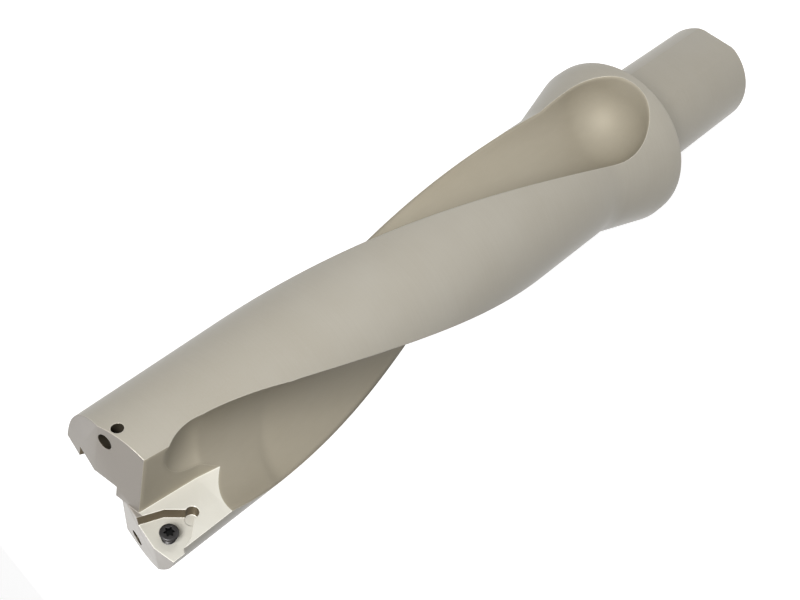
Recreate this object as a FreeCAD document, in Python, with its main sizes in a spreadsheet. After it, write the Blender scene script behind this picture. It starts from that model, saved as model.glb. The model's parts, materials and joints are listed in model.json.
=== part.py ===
"""Indexable drill: a fluted steel body for two screwed-in carbide inserts, and its two clamp screws.

The drill stands on the end of its shank. The origin is the middle of the shank's end face, +Z runs along the
drill to the tip, and the rake faces of both insert seats lie in the plane Y = 0, which holds the axis.
Heights near the tip are measured down from the tip plane, which touches the rim of the inner land.
"""
import FreeCAD, Part
import os
import Sketcher

SIZES = [
    ("shank_diameter", 40.0, "parallel shank"),
    ("shank_length", 68.0, "end face to the back of the collar"),
    ("shank_chamfer", 0.8, "chamfer at the end of the shank"),
    ("flat_depth", 2.0, "depth of the clamping flat, which runs the whole length of the shank"),
    ("collar_diameter", 64.0, "largest turned diameter"),
    ("collar_band", 4.8, "cylindrical band of the collar"),
    ("collar_cone", 25.6, "length of the cone in front of the band"),
    ("collar_chamfer", 0.8, "chamfer at the back of the collar"),
    ("body_diameter", 50.0, "fluted body"),
    ("body_reach", 212.0, "small end of the cone to the tip plane"),
    ("helix_lead", 537.0, "axial length of one full turn of a flute"),
    ("flute_radius", 18.3, "radius of the ball-nosed flute cutter"),
    ("flute_core", 7.6, "distance of the flute floor from the axis"),
    ("flute_phase", 229.1, "direction of the first flute at the tip plane, in degrees"),
    ("flute_spacing", 181.9, "from the first flute to the second, in degrees"),
    ("flute_start", 35.0, "tip plane to the cutter's first stop"),
    ("flute_runout", 7.4, "how far the cutter's last stop lies in the cone"),
    ("flute_flare", 6.0, "how much each flank opens outwards, in degrees"),
    ("heel_offset", 23.8, "axis to the middle of the heel scoop, along the rake plane"),
    ("heel_clear", 0.2, "rake plane to the round of the heel scoop"),
    ("heel_setback", 18.8, "tip plane to the middle of the heel scoop"),
    ("heel_length", 19.0, "length of the heel scoop, back to where it has run out into the flute"),
    ("heel_lean", 13.5, "how much the heel scoop leaves the axis away from the tip, in degrees"),
    ("insert_circle", 12.7, "inscribed circle of the three-cornered inserts"),
    ("insert_corner", 80.0, "corner angle of the inserts, in degrees"),
    ("insert_depth", 4.0, "depth of the insert seats"),
    ("insert_stand", 0.55, "how far a cutting edge stands out of the end face"),
    ("corner_relief", 1.95, "radius of the round relief in a seat's back corner"),
    ("relief_inset", 1.25, "sharp corner of the seat to the middle of its relief"),
    ("relief_step", 0.2, "how much deeper than the seat the relief is"),
    ("seat_ease", 0.5, "room between the insert and the wall that it doesn't bear on"),
    ("outer_reach", 18.0, "axis to the middle of the outer insert"),
    ("outer_setback", 2.9, "tip plane to the middle of the outer insert"),
    ("outer_turn", 2.3, "turn of the outer insert, in degrees"),
    ("outer_clearance", 10.0, "clearance angle of the outer end face, in degrees"),
    ("inner_reach", 8.3, "axis to the middle of the inner insert"),
    ("inner_setback", 4.6, "tip plane to the middle of the inner insert"),
    ("inner_turn", 4.2, "turn of the inner insert, in degrees"),
    ("inner_clearance", 2.5, "clearance angle of the inner end face, in degrees"),
    ("outer_gullet_inset", 8.2, "axis to the wall of the outer gullet, at the tip plane"),
    ("outer_gullet_lean", 1.0, "angle of that wall from the Y direction, in degrees"),
    ("outer_gullet_slant", 5.5, "how much the wall leaves the axis away from the tip, in degrees"),
    ("outer_gullet_depth", 20.0, "straight depth of the outer gullet"),
    ("outer_gullet_exit", 6.3, "sideways travel of its sloping end"),
    ("inner_gullet_inset", 0.6, "how far the inner gullet reaches past the axis"),
    ("inner_gullet_lean", 5.0, "angle of its wall from the Y direction, in degrees"),
    ("inner_gullet_slant", 0.5, "how much the wall leaves the axis away from the tip, in degrees"),
    ("inner_gullet_depth", 17.0, "straight depth of the inner gullet"),
    ("inner_gullet_exit", 10.0, "sideways travel of its sloping end"),
    ("gullet_slope", 15.0, "axial length of both sloping ends"),
    ("gullet_heading", 37.0, "sideways direction of both slopes, in degrees from the rake plane"),
    ("coolant_bore", 8.0, "central coolant bore"),
    ("coolant_reach", 232.0, "end face to the end of the central bore"),
    ("inlet_diameter", 11.8, "coolant inlet in the end face"),
    ("inlet_depth", 16.0, "depth of the inlet"),
    ("jet_diameter", 4.8, "coolant hole in each end face"),
    ("jet_radius", 20.1, "axis to the coolant holes at the tip plane"),
    ("jet_phase", 286.7, "direction of the inner land's coolant hole, in degrees"),
    ("jet_spacing", 180.0, "from one coolant hole to the other, in degrees"),
    ("side_hole_diameter", 3.7, "cross hole from the rim into a coolant hole"),
    ("side_hole_phase", 279.5, "direction of the cross hole, in degrees"),
    ("side_hole_setback", 2.7, "tip plane to the cross hole"),
    ("side_hole_depth", 6.5, "depth of the cross hole"),
    ("screw_thread", 4.0, "clamp screw, outside the thread"),
    ("screw_length", 10.5, "clamp screw, over all"),
    ("screw_head", 5.6, "head of the clamp screw"),
    ("screw_rim", 0.6, "height of the round rim of the head"),
    ("screw_cone", 30.0, "half angle under the head, in degrees"),
    ("screw_stand", 3.3, "top of the head above the seat"),
    ("screw_point", 0.5, "chamfer at the end of the screw"),
    ("thread_clearance", 0.05, "gap round the screw in its hole"),
    ("hole_spare", 1.5, "depth of the screw hole past the screw"),
    ("socket_core", 1.2, "radius of the six-lobe socket between its lobes"),
    ("socket_lobe", 0.36, "radius of one lobe"),
    ("socket_pitch", 1.3, "middle of the socket to the middle of a lobe"),
    ("socket_depth", 1.6, "depth of the socket"),
    ("cut_margin", 6.0, "how far a cutter runs past the solid"),
]

doc = FreeCAD.newDocument("indexable_drill")
sheet = doc.addObject("Spreadsheet::Sheet", "sizes")
for row, (alias, size, note) in enumerate(SIZES, start=1):
    sheet.set(f"A{row}", alias.replace("_", " "))
    sheet.set(f"B{row}", str(size))
    sheet.setAlias(f"B{row}", alias)
    sheet.set(f"C{row}", note)
doc.recompute()

# Heights and radii that several features share
TIP = "(sizes.shank_length + sizes.collar_band + sizes.collar_cone + sizes.body_reach)"
CONE_END = "(sizes.shank_length + sizes.collar_band + sizes.collar_cone)"
NOSE = f"({TIP} + sizes.cut_margin)"
OUTSIDE = "(sizes.collar_diameter / 2 + sizes.cut_margin)"
CORNER = "(sizes.insert_circle / 2 / sin(sizes.insert_corner / 2))"
BLUNT = "(sizes.insert_circle / 2 / cos(sizes.insert_corner / 2 - 30))"
FALL = "(sizes.insert_corner / 2 - 30)"
FLUTE_CENTRE = "(sizes.flute_core + sizes.flute_radius)"
FLUTE_FRONT = f"({TIP} - sizes.flute_start)"
FLUTE_BACK = f"({CONE_END} - sizes.flute_runout)"
FLUTE_MOUTH = f"(sizes.flute_radius + ({OUTSIDE} - {FLUTE_CENTRE}) * tan(sizes.flute_flare))"
SCREW_DEPTH = "(sizes.insert_depth - sizes.screw_stand)"


def origin_part(body, role):
    """The origin plane or axis of a body, by its role."""
    return next(item for item in body.Origin.OriginFeatures if item.Role == role)


def new_body(label):
    """An empty body with a label of its own."""
    body = doc.addObject("PartDesign::Body", label)
    body.Label = label
    return body


def new_sketch(body, name, plane, place=None):
    """A sketch on one of the body's origin planes, moved in that plane's frame by an expression."""
    sketch = body.newObject("Sketcher::SketchObject", name)
    sketch.AttachmentSupport = [(origin_part(body, plane), "")]
    sketch.MapMode = "FlatFace"
    if place:
        sketch.setExpression("AttachmentOffset", place)
    return sketch


def level_place(height):
    """A level plane at a height above the end face."""
    return f"placement(vector(0; 0; {height}); rotation(vector(0; 0; 1); 0))"


def value(expression):
    """The number that an expression on the sheet has now."""
    result = sheet.evalExpression(expression)
    return float(getattr(result, "Value", result))


def tie(sketch, constraint, name, expression):
    """Add a driving dimension and bind it to the sheet."""
    index = sketch.addConstraint(constraint)
    sketch.renameConstraint(index, name)
    sketch.setExpression(f"Constraints.{name}", expression)


def place_point(sketch, edge, end, name, across, along):
    """Pin one sketch point by its two distances from the sketch's origin."""
    for kind, tag, expression, axis in (("DistanceX", "x", across, -2), ("DistanceY", "y", along, -1)):
        if expression == "0":
            sketch.addConstraint(Sketcher.Constraint("PointOnObject", edge, end, axis))
        else:
            constraint = Sketcher.Constraint(kind, -1, 1, edge, end, value(expression))
            tie(sketch, constraint, f"{name}_{tag}", expression)


def outline(sketch, corners):
    """A closed outline of straight sides through corners given as pairs of expressions."""
    points = [FreeCAD.Vector(value(across), value(along), 0) for across, along in corners]
    count = len(points)
    for index in range(count):
        sketch.addGeometry(Part.LineSegment(points[index], points[(index + 1) % count]))
    for index in range(count):
        sketch.addConstraint(Sketcher.Constraint("Coincident", index, 2, (index + 1) % count, 1))
    for index, (across, along) in enumerate(corners):
        place_point(sketch, index, 1, f"corner{index + 1}", across, along)


def ring(sketch, name, across, along, diameter):
    """A circle with its middle and its diameter tied to the sheet."""
    middle = FreeCAD.Vector(value(across), value(along), 0)
    index = sketch.addGeometry(Part.Circle(middle, FreeCAD.Vector(0, 0, 1), value(diameter) / 2))
    place_point(sketch, index, 3, name, across, along)
    tie(sketch, Sketcher.Constraint("Diameter", index, value(diameter)), f"{name}_size", diameter)


def volume(body):
    """The body's volume after a recompute."""
    doc.recompute()
    return body.Shape.Volume


def cut(body, sketch, name, depth, backwards=False, heading=None):
    """A pocket of the sketch's outline, slanted along a heading if one is given; it has to take material away."""
    before = volume(body)
    pocket = body.newObject("PartDesign::Pocket", name)
    pocket.Profile = sketch
    pocket.setExpression("Length", depth)
    pocket.Reversed = backwards
    if heading:
        pocket.UseCustomVector = True
        pocket.AlongSketchNormal = True
        for axis, expression in zip("xyz", heading):
            pocket.setExpression(f"Direction.{axis}", expression)
    if volume(body) >= before:
        raise ValueError(f"{name} cuts nothing")
    return pocket


def turn(body, sketch, name):
    """A full revolution of the sketch's outline about its upright axis."""
    feature = body.newObject("PartDesign::Revolution", name)
    feature.Profile = sketch
    feature.ReferenceAxis = (sketch, ["V_Axis"])
    feature.Angle = 360
    doc.recompute()
    return feature


def repeat_about_axis(body, name, features, axis_role, angle, count):
    """Copies of features about one of the body's axes, the last one at the given angle."""
    pattern = body.newObject("PartDesign::PolarPattern", name)
    pattern.Originals = features
    pattern.Axis = (origin_part(body, axis_role), [""])
    pattern.setExpression("Angle", angle)
    pattern.Occurrences = count
    body.Tip = pattern
    doc.recompute()
    return pattern


# Drill body: the turned blank
drill = new_body("drill_body")
blank_profile = new_sketch(drill, "blank_profile", "XZ_Plane")
outline(blank_profile, [
    ("0", "0"),
    ("sizes.shank_diameter / 2 - sizes.shank_chamfer", "0"),
    ("sizes.shank_diameter / 2", "sizes.shank_chamfer"),
    ("sizes.shank_diameter / 2", "sizes.shank_length"),
    ("sizes.collar_diameter / 2 - sizes.collar_chamfer", "sizes.shank_length"),
    ("sizes.collar_diameter / 2", "sizes.shank_length + sizes.collar_chamfer"),
    ("sizes.collar_diameter / 2", "sizes.shank_length + sizes.collar_band"),
    ("sizes.body_diameter / 2", CONE_END),
    ("sizes.body_diameter / 2", NOSE),
    ("0", NOSE),
])
turn(drill, blank_profile, "turned_blank")


def flute_turn(height, phase):
    """The direction of a flute at a height."""
    return f"({phase} + 360 * ({height} - {TIP}) / sizes.helix_lead)"


def cutter_outline(sketch):
    """The round nose and the flared flanks of the flute cutter."""
    centre = value(FLUTE_CENTRE)
    radius = value("sizes.flute_radius")
    outside = value(OUTSIDE)
    wide = value(FLUTE_MOUTH)
    nose = [FreeCAD.Vector(centre, radius, 0), FreeCAD.Vector(centre - radius, 0, 0),
            FreeCAD.Vector(centre, -radius, 0)]
    flank = [FreeCAD.Vector(outside, -wide, 0), FreeCAD.Vector(outside, wide, 0)]
    sketch.addGeometry(Part.Arc(*nose))
    sketch.addGeometry(Part.LineSegment(nose[0], flank[1]))
    sketch.addGeometry(Part.LineSegment(flank[1], flank[0]))
    sketch.addGeometry(Part.LineSegment(flank[0], nose[2]))
    sketch.addConstraint(Sketcher.Constraint("Coincident", 0, 1, 1, 1))
    sketch.addConstraint(Sketcher.Constraint("Coincident", 1, 2, 2, 1))
    sketch.addConstraint(Sketcher.Constraint("Coincident", 2, 2, 3, 1))
    sketch.addConstraint(Sketcher.Constraint("Coincident", 3, 2, 0, 2))
    sketch.addConstraint(Sketcher.Constraint("Vertical", 0, 1, 0, 3))
    sketch.addConstraint(Sketcher.Constraint("Vertical", 0, 2, 0, 3))
    place_point(sketch, 0, 3, "nose", FLUTE_CENTRE, "0")
    tie(sketch, Sketcher.Constraint("Radius", 0, radius), "nose_radius", "sizes.flute_radius")
    place_point(sketch, 2, 1, "mouth_left", OUTSIDE, FLUTE_MOUTH)
    place_point(sketch, 2, 2, "mouth_right", OUTSIDE, f"-{FLUTE_MOUTH}")


def cutter_stop(name, height, phase):
    """The round nose of the cutter where it stops."""
    angle = flute_turn(height, phase)
    stop = drill.newObject("PartDesign::SubtractiveSphere", name)
    stop.AttachmentSupport = [(origin_part(drill, "XY_Plane"), "")]
    stop.MapMode = "FlatFace"
    stop.setExpression("Radius", "sizes.flute_radius")
    stop.setExpression(
        "AttachmentOffset",
        f"placement(vector({FLUTE_CENTRE} * cos({angle}); {FLUTE_CENTRE} * sin({angle}); {height});"
        f" rotation(vector(0; 0; 1); {angle}))")
    doc.recompute()


def heel_scoop(name, side):
    """The cutter's straight run along the rake plane, which hollows the heel of the land behind the gullet."""
    place = (
        f"placement(vector({side} * sizes.heel_offset; {side} * (sizes.flute_radius + sizes.heel_clear);"
        f" {TIP} - sizes.heel_setback); rotation(vector(0; 1; 0); {side} * (180 - sizes.heel_lean)))")
    run = drill.newObject("PartDesign::SubtractiveCylinder", f"{name}_heel")
    end = drill.newObject("PartDesign::SubtractiveSphere", f"{name}_heel_end")
    run.setExpression("Height", "sizes.heel_length")
    for feature in (run, end):
        feature.AttachmentSupport = [(origin_part(drill, "XY_Plane"), "")]
        feature.MapMode = "FlatFace"
        feature.setExpression("Radius", "sizes.flute_radius")
        feature.setExpression("AttachmentOffset", place)
    doc.recompute()


def flute(name, side, phase):
    """One flute, milled by a ball-nosed cutter that follows a helix from the collar to the tip.

    side is -1 for the flute of the outer insert, which ends towards -X and -Y, and 1 for the inner one.
    """
    back_turn = flute_turn(FLUTE_BACK, phase)
    line = doc.addObject("Part::Helix", f"{name}_line")
    line.LocalCoord = "Right-handed"
    line.setExpression("Pitch", "sizes.helix_lead")
    line.setExpression("Height", f"{FLUTE_FRONT} - {FLUTE_BACK}")
    line.setExpression("Radius", FLUTE_CENTRE)
    line.setExpression(
        "Placement", f"placement(vector(0; 0; {FLUTE_BACK}); rotation(vector(0; 0; 1); {back_turn}))")
    doc.recompute()
    path = drill.newObject("PartDesign::SubShapeBinder", f"{name}_path")
    path.Support = [(line, "")]
    section = new_sketch(
        drill, f"{name}_section", "XY_Plane",
        f"placement(vector(0; 0; {FLUTE_BACK}); rotation(vector(0; 0; 1); {back_turn})"
        f" * rotation(vector(1; 0; 0); -atan(2 * pi * {FLUTE_CENTRE} / sizes.helix_lead)))")
    cutter_outline(section)
    before = volume(drill)
    run = drill.newObject("PartDesign::SubtractivePipe", f"{name}_run")
    run.Profile = section
    run.Spine = (path, ["Edge1"])
    run.Mode = "Frenet"
    if volume(drill) >= before:
        raise ValueError(f"{name} cuts nothing")
    cutter_stop(f"{name}_front_end", FLUTE_FRONT, phase)
    cutter_stop(f"{name}_back_end", FLUTE_BACK, phase)
    shoulder = drill.newObject("PartDesign::SubtractiveCone", f"{name}_shoulder")
    shoulder.AttachmentSupport = [(origin_part(drill, "XY_Plane"), "")]
    shoulder.MapMode = "FlatFace"
    shoulder.setExpression("Radius1", "sizes.flute_radius")
    shoulder.setExpression("Radius2", FLUTE_MOUTH)
    shoulder.setExpression("Height", f"{OUTSIDE} - {FLUTE_CENTRE}")
    shoulder.setExpression(
        "AttachmentOffset",
        f"placement(vector({FLUTE_CENTRE} * cos({back_turn}); {FLUTE_CENTRE} * sin({back_turn}); {FLUTE_BACK});"
        f" rotation(vector(0; 0; 1); {back_turn}) * rotation(vector(0; 1; 0); 90))")
    doc.recompute()
    heel_scoop(name, side)


flute("outer_flute", -1, "sizes.flute_phase")
flute("inner_flute", 1, "sizes.flute_phase + sizes.flute_spacing")


def gullet(name, side, inset, lean, slant, depth, exit_travel):
    """A straight chip gullet in front of one insert, and the slope that leads it out into the flute.

    side is -1 for the outer insert, whose gullet lies towards -X and -Y, and 1 for the inner one.
    """
    def corners(below_tip):
        """The gullet's outline at a depth below the tip plane."""
        wall = f"({side} * ({inset} + {below_tip} * tan({slant})))"
        return [
            (wall, "0"),
            (f"{wall} + {OUTSIDE} * tan({lean})", f"{side} * {OUTSIDE}"),
            (f"{side} * {OUTSIDE}", f"{side} * {OUTSIDE}"),
            (f"{side} * {OUTSIDE}", "0"),
        ]

    floor = f"({TIP} - {depth})"
    mouth = new_sketch(drill, f"{name}_mouth", "XY_Plane", level_place(NOSE))
    outline(mouth, corners("-sizes.cut_margin"))
    cut(drill, mouth, name, f"{NOSE} - {floor}", heading=(f"{side} * tan({slant})", "0", "-1"))
    exit_outline = new_sketch(drill, f"{name}_floor", "XY_Plane", level_place(floor))
    outline(exit_outline, corners(depth))
    cut(drill, exit_outline, f"{name}_slope", "sizes.gullet_slope", heading=(
        f"{side} * {exit_travel} * cos(sizes.gullet_heading)",
        f"{side} * {exit_travel} * sin(sizes.gullet_heading)",
        "-sizes.gullet_slope"))


gullet("outer_gullet", -1, "sizes.outer_gullet_inset", "sizes.outer_gullet_lean",
       "sizes.outer_gullet_slant", "sizes.outer_gullet_depth", "sizes.outer_gullet_exit")
gullet("inner_gullet", 1, "-sizes.inner_gullet_inset", "sizes.inner_gullet_lean",
       "sizes.inner_gullet_slant", "sizes.inner_gullet_depth", "sizes.inner_gullet_exit")


def seat_place(across, setback, angle):
    """The frame of an insert in the rake plane: X across the drill, Y to the tip, turned as the insert is."""
    return f"placement(vector({across}; {TIP} - {setback}; 0); rotation(vector(0; 0; 1); -{angle}))"


def insert_seat(name, across, setback, angle, clearance, inner):
    """The end face of one land, the open seat of its insert, the corner relief and the screw hole."""
    face = new_sketch(drill, f"{name}_face_profile", "XZ_Plane", seat_place(across, setback, angle))
    crest = f"({BLUNT} - sizes.insert_stand)"
    wide = "(2 * sizes.body_diameter)"
    outline(face, [
        ("0", crest),
        (f"-{wide}", f"{crest} - {wide} * tan({FALL})"),
        (f"-{wide}", wide),
        (wide, wide),
        (wide, f"{crest} - {wide} * tan({FALL})"),
    ])
    away = "-1" if inner else "1"
    cut(drill, face, f"{name}_face", "sizes.body_diameter", heading=("0", away, f"-tan({clearance})"))

    plan = new_sketch(drill, f"{name}_seat_outline", "XZ_Plane", seat_place(across, setback, angle))
    open_end = f"({BLUNT} + sizes.cut_margin)"
    outline(plan, [
        (f"{CORNER} * sin(60) + sizes.seat_ease", f"{CORNER} * cos(60)"),
        (f"{BLUNT} * sin(60) + sizes.seat_ease", f"-{BLUNT} * cos(60)"),
        ("sizes.seat_ease", f"-{CORNER}"),
        (f"-{BLUNT} * sin(60)", f"-{BLUNT} * cos(60)"),
        (f"-{CORNER} * sin(60)", f"{CORNER} * cos(60)"),
        (f"-{CORNER} * sin(60)", open_end),
        (f"{CORNER} * sin(60) + sizes.seat_ease", open_end),
    ])
    cut(drill, plan, f"{name}_seat", "sizes.insert_depth", backwards=inner)

    relief = new_sketch(drill, f"{name}_relief_outline", "XZ_Plane", seat_place(across, setback, angle))
    ring(relief, "relief", "sizes.seat_ease", f"-({CORNER} - sizes.relief_inset)", "2 * sizes.corner_relief")
    cut(drill, relief, f"{name}_relief", "sizes.insert_depth + sizes.relief_step", backwards=inner)

    bore = new_sketch(drill, f"{name}_screw_hole_outline", "XZ_Plane", seat_place(across, setback, angle))
    ring(bore, "screw_hole", "0", "0", "sizes.screw_thread + 2 * sizes.thread_clearance")
    cut(drill, bore, f"{name}_screw_hole", f"{SCREW_DEPTH} + sizes.screw_length + sizes.hole_spare",
        backwards=inner)


insert_seat("outer", "-sizes.outer_reach", "sizes.outer_setback", "sizes.outer_turn",
            "sizes.outer_clearance", inner=False)
insert_seat("inner", "sizes.inner_reach", "sizes.inner_setback", "sizes.inner_turn",
            "sizes.inner_clearance", inner=True)

# Drill body: coolant comes in at the shank, runs up the core and leaves through a slanted hole in each land
inlet = new_sketch(drill, "coolant_inlet_outline", "XY_Plane")
ring(inlet, "inlet", "0", "0", "sizes.inlet_diameter")
cut(drill, inlet, "coolant_inlet", "sizes.inlet_depth", backwards=True)
core = new_sketch(drill, "coolant_bore_outline", "XY_Plane")
ring(core, "bore", "0", "0", "sizes.coolant_bore")
cut(drill, core, "coolant_bore", "sizes.coolant_reach", backwards=True)

JET_LEAN = f"atan(sizes.jet_radius / ({TIP} - sizes.coolant_reach))"
jet_outline = new_sketch(
    drill, "jet_outline", "XY_Plane",
    f"placement(vector(0; 0; sizes.coolant_reach); rotation(vector(0; 0; 1); sizes.jet_phase)"
    f" * rotation(vector(0; 1; 0); {JET_LEAN}))")
ring(jet_outline, "jet", "0", "0", "sizes.jet_diameter")
jet = cut(drill, jet_outline, "coolant_jet", f"({NOSE} - sizes.coolant_reach) / cos({JET_LEAN})", backwards=True)
repeat_about_axis(drill, "both_jets", [jet], "Z_Axis", "sizes.jet_spacing", 2)

side_outline = new_sketch(
    drill, "side_hole_outline", "XY_Plane",
    f"placement(vector(sizes.body_diameter / 2 * cos(sizes.side_hole_phase);"
    f" sizes.body_diameter / 2 * sin(sizes.side_hole_phase); {TIP} - sizes.side_hole_setback);"
    f" rotation(vector(0; 0; 1); sizes.side_hole_phase) * rotation(vector(0; 1; 0); 90))")
ring(side_outline, "side_hole", "0", "0", "sizes.side_hole_diameter")
cut(drill, side_outline, "side_hole", "sizes.side_hole_depth")

# Drill body: the flat that the holder's screws press on
flat_outline = new_sketch(drill, "flat_outline", "XY_Plane")
outline(flat_outline, [
    ("-sizes.shank_diameter / 2", "-(sizes.shank_diameter / 2 - sizes.flat_depth)"),
    ("-sizes.shank_diameter / 2", "-sizes.shank_diameter"),
    ("sizes.shank_diameter / 2", "-sizes.shank_diameter"),
    ("sizes.shank_diameter / 2", "-(sizes.shank_diameter / 2 - sizes.flat_depth)"),
])
cut(drill, flat_outline, "shank_flat", "sizes.shank_length", backwards=True)


def clamp_screw(label, across, setback, angle, inner):
    """A countersunk clamp screw with a six-lobe socket, in the middle of its seat."""
    screw = new_body(label)
    half_head = "sizes.screw_head / 2"
    half_thread = "sizes.screw_thread / 2"
    under_head = f"-(sizes.screw_rim + ({half_head} - {half_thread}) / tan(sizes.screw_cone))"
    profile = new_sketch(screw, f"{label}_profile", "XZ_Plane")
    outline(profile, [
        ("0", "0"),
        (half_head, "0"),
        (half_head, "-sizes.screw_rim"),
        (half_thread, under_head),
        (half_thread, "-(sizes.screw_length - sizes.screw_point)"),
        (f"{half_thread} - sizes.screw_point", "-sizes.screw_length"),
        ("0", "-sizes.screw_length"),
    ])
    turn(screw, profile, f"{label}_blank")
    core_outline = new_sketch(screw, f"{label}_socket_outline", "XY_Plane")
    ring(core_outline, "core", "0", "0", "2 * sizes.socket_core")
    cut(screw, core_outline, f"{label}_socket", "sizes.socket_depth")
    lobe_outline = new_sketch(screw, f"{label}_lobe_outline", "XY_Plane")
    ring(lobe_outline, "lobe", "sizes.socket_pitch", "0", "2 * sizes.socket_lobe")
    lobe = cut(screw, lobe_outline, f"{label}_lobe", "sizes.socket_depth")
    repeat_about_axis(screw, f"{label}_lobes", [lobe], "Z_Axis", "360", 6)
    lean = "-90" if inner else "90"
    level = f"-{SCREW_DEPTH}" if inner else SCREW_DEPTH
    screw.setExpression(
        "Placement", f"placement(vector({across}; {level}; {TIP} - {setback}); "
        f"rotation(vector(0; 1; 0); {angle}) * rotation(vector(1; 0; 0); {lean}))")
    return screw


screws = [
    clamp_screw("outer_insert_screw", "-sizes.outer_reach", "sizes.outer_setback", "sizes.outer_turn", False),
    clamp_screw("inner_insert_screw", "sizes.inner_reach", "sizes.inner_setback", "sizes.inner_turn", True),
]
doc.recompute()

# Check every object before anything is written
for item in doc.Objects:
    if "Invalid" in item.State or "Error" in item.State:
        raise ValueError(f"{item.Label} did not build: {item.State}")
os.makedirs("parts", exist_ok=True)
for body in [drill] + screws:
    shape = body.Shape
    if shape.isNull() or not shape.isValid() or len(shape.Solids) != 1:
        raise ValueError(f"{body.Label} is not one valid solid")
for body in [drill] + screws:
    body.Shape.exportStep(f"parts/{body.Label}.step")
    box = body.Shape.BoundBox
    print(f"{body.Label}: {body.Shape.Volume:.0f} cubic mm, "
          f"{box.XLength:.1f} x {box.YLength:.1f} x {box.ZLength:.1f} mm, top at {box.ZMax:.1f}")
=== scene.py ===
# %% [markdown]
# # An indexable drill
#
# The real object is a drill for large holes in metal. Its body is one bar of steel: a round shank, a coned
# collar, and a long part with two helical flutes. Two carbide inserts are screwed into seats at its tip.
# Both seats are empty here, and each still holds its small black clamp screw.
#
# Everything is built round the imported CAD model, which gives the frame: the drill stands on the end of its
# shank, the origin is the middle of that end, and Z runs along the axis. Blender works in metres here.

# %% Load the frame
import bmesh
import bpy
import json
import math
from mathutils import Matrix, Vector

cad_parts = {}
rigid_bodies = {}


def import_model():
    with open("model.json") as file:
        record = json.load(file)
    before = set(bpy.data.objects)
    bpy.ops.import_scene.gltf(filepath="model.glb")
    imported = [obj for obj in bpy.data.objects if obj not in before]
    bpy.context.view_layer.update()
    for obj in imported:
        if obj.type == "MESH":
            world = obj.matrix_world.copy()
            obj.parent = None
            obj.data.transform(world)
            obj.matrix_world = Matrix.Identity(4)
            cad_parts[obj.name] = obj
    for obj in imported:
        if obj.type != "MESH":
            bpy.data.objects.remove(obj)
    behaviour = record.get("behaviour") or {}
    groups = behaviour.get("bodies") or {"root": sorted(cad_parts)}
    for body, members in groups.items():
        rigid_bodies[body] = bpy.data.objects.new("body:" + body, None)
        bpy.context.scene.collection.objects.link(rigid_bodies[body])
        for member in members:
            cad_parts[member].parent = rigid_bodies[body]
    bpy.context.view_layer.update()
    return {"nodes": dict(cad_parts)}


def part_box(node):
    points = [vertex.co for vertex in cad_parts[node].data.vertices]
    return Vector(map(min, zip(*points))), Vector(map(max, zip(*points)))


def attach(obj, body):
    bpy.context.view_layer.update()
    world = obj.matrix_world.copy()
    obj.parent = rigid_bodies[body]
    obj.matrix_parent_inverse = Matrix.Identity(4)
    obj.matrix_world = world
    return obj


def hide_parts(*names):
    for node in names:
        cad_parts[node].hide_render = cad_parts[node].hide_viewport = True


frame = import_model()
print("CAD nodes:", sorted(frame["nodes"]))

# %% [markdown]
# ## The camera
#
# The photograph looks down on the drill from the tip's side, with the tip low on the left. The camera's place
# and angles were solved from the round edges of the collar, the shank and the body, so they are plain numbers.

# %% Place the camera
camera_data = bpy.data.cameras.new("camera")
camera_data.sensor_width = 36
camera_data.lens = 61.858
camera_data.clip_end = 20
camera = bpy.data.objects.new("camera", camera_data)
camera.location = (-0.162567, -0.328044, 0.458102)
camera.rotation_euler = [math.radians(angle) for angle in (-38.9602, 40.9221, -167.0179)]
bpy.context.scene.collection.objects.link(camera)
bpy.context.scene.camera = camera
print("camera height in metres:", round(camera.location.z, 3))

# %% [markdown]
# ## Sizes
#
# The sizes are those of the CAD model, in millimetres, so that a piece made here lies exactly where the solid
# is. `MM` turns them into metres. A size that serves one feature only stands with that feature.

# %% Name the main sizes
MM = 0.001
SHANK_RADIUS = 20.0
SHANK_LENGTH = 68.0
COLLAR_RADIUS = 32.0
COLLAR_BAND_TOP = 72.8
CONE_TOP = 98.4
BODY_RADIUS = 25.0
TIP_PLANE = 310.4
CHAMFER = 0.8
OUTSIDE = 38.0  # well outside the body, where the cutters end
print("shank", SHANK_LENGTH, "mm long, body from", CONE_TOP, "to", TIP_PLANE, "mm")

# %% [markdown]
# ## Helpers for node trees and meshes
#
# Geometry Nodes and materials are both node trees, so one helper serves both. It adds a node and fills its
# inputs in order: a socket becomes a link, and anything else becomes the input's own value.

# %% Add one node
def add(tree, kind, *values, **settings):
    node = tree.nodes.new(kind)
    for name, setting in settings.items():
        setattr(node, name, setting)
    for socket, value in zip([s for s in node.inputs if s.enabled], values):
        if isinstance(value, bpy.types.NodeSocket):
            tree.links.new(value, socket)
        elif value is not None:
            socket.default_value = value
    return node


def maths(tree, operation, *values, clamp=False):
    return add(tree, "ShaderNodeMath", *values, operation=operation, use_clamp=clamp).outputs[0]


print("node helpers ready")

# %% [markdown]
# A mesh that is made in Python starts as a list of points in millimetres and a list of faces. Walls that meet
# at more than 30 degrees keep a sharp edge, and all others are shaded round.

# %% Make a mesh object
SHARP_ANGLE = 30


def make_object(name, points, faces, material=None):
    """A mesh object from points in millimetres. It lies at the origin, with its place in its mesh."""
    mesh = bpy.data.meshes.new(name)
    mesh.from_pydata([Vector(point) * MM for point in points], [], faces)
    mesh.validate()
    made = bpy.data.objects.new(name, mesh)
    bpy.context.scene.collection.objects.link(made)
    if material:
        mesh.materials.append(material)
    return made


def shade_round(made):
    made.data.shade_smooth()
    made.data.set_sharp_from_angle(angle=math.radians(SHARP_ANGLE))


def frozen(made):
    """Turn an object's modifiers into plain mesh."""
    depsgraph = bpy.context.evaluated_depsgraph_get()
    plain = bpy.data.meshes.new_from_object(made.evaluated_get(depsgraph))
    made.modifiers.clear()
    made.data = plain
    return made


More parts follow.
